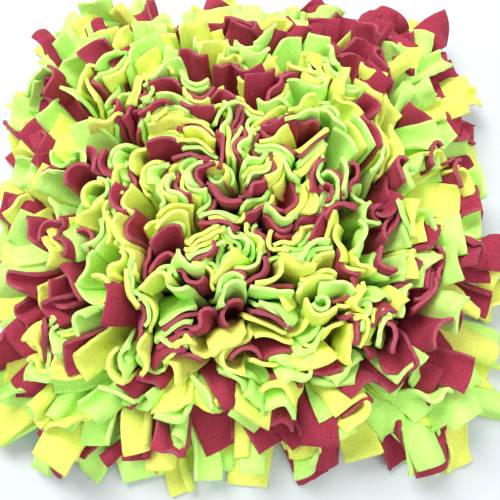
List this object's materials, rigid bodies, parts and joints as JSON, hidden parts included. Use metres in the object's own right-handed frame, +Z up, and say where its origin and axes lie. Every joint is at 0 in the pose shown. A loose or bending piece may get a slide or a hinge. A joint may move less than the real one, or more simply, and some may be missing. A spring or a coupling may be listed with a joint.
{
  "type": "snuffle mat",
  "caption": "Square snuffle mat for a dog: fleece strips knotted through a slotted rubber base, upright and curled in the middle and lying outward over the rim.",
  "frame": {"origin": "on the floor under the middle tuft, at the centre of the mat", "axes": "+Z up, away from the floor; +X to the right and +Y to the back, along the mat's slots' rows"},
  "size_m": [0.4671, 0.4666, 0.0919],
  "materials": {
    "fleece_yellow": "matte napped polyester fleece, lime yellow",
    "fleece_green": "matte napped polyester fleece, light apple green",
    "fleece_raspberry": "matte napped polyester fleece, raspberry",
    "rubber": "matte black rubber"
  },
  "bodies": {
    "root": {"base_mat": "rubber", "tuft_1_1": "fleece_yellow", "tuft_2_1": "fleece_green", "tuft_3_1": "fleece_raspberry", "tuft_4_1": "fleece_yellow", "tuft_5_1": "fleece_green", "tuft_6_1": "fleece_raspberry", "tuft_7_1": "fleece_yellow", "tuft_1_2": "fleece_raspberry", "tuft_2_2": "fleece_yellow", "tuft_3_2": "fleece_green", "tuft_4_2": "fleece_raspberry", "tuft_5_2": "fleece_yellow", "tuft_6_2": "fleece_green", "tuft_7_2": "fleece_raspberry", "tuft_1_3": "fleece_green", "tuft_2_3": "fleece_raspberry", "tuft_3_3": "fleece_yellow", "tuft_4_3": "fleece_green", "tuft_5_3": "fleece_raspberry", "tuft_6_3": "fleece_yellow", "tuft_7_3": "fleece_green", "tuft_1_4": "fleece_yellow", "tuft_2_4": "fleece_green", "tuft_3_4": "fleece_raspberry", "tuft_4_4": "fleece_yellow", "tuft_5_4": "fleece_green", "tuft_6_4": "fleece_raspberry", "tuft_7_4": "fleece_yellow", "tuft_1_5": "fleece_raspberry", "tuft_2_5": "fleece_yellow", "tuft_3_5": "fleece_green", "tuft_4_5": "fleece_raspberry", "tuft_5_5": "fleece_yellow", "tuft_6_5": "fleece_green", "tuft_7_5": "fleece_raspberry", "tuft_1_6": "fleece_green", "tuft_2_6": "fleece_raspberry", "tuft_3_6": "fleece_yellow", "tuft_4_6": "fleece_green", "tuft_5_6": "fleece_raspberry", "tuft_6_6": "fleece_yellow", "tuft_7_6": "fleece_green", "tuft_1_7": "fleece_yellow", "tuft_2_7": "fleece_green", "tuft_3_7": "fleece_raspberry", "tuft_4_7": "fleece_yellow", "tuft_5_7": "fleece_green", "tuft_6_7": "fleece_raspberry", "tuft_7_7": "fleece_yellow"}
  },
  "joints": []
}
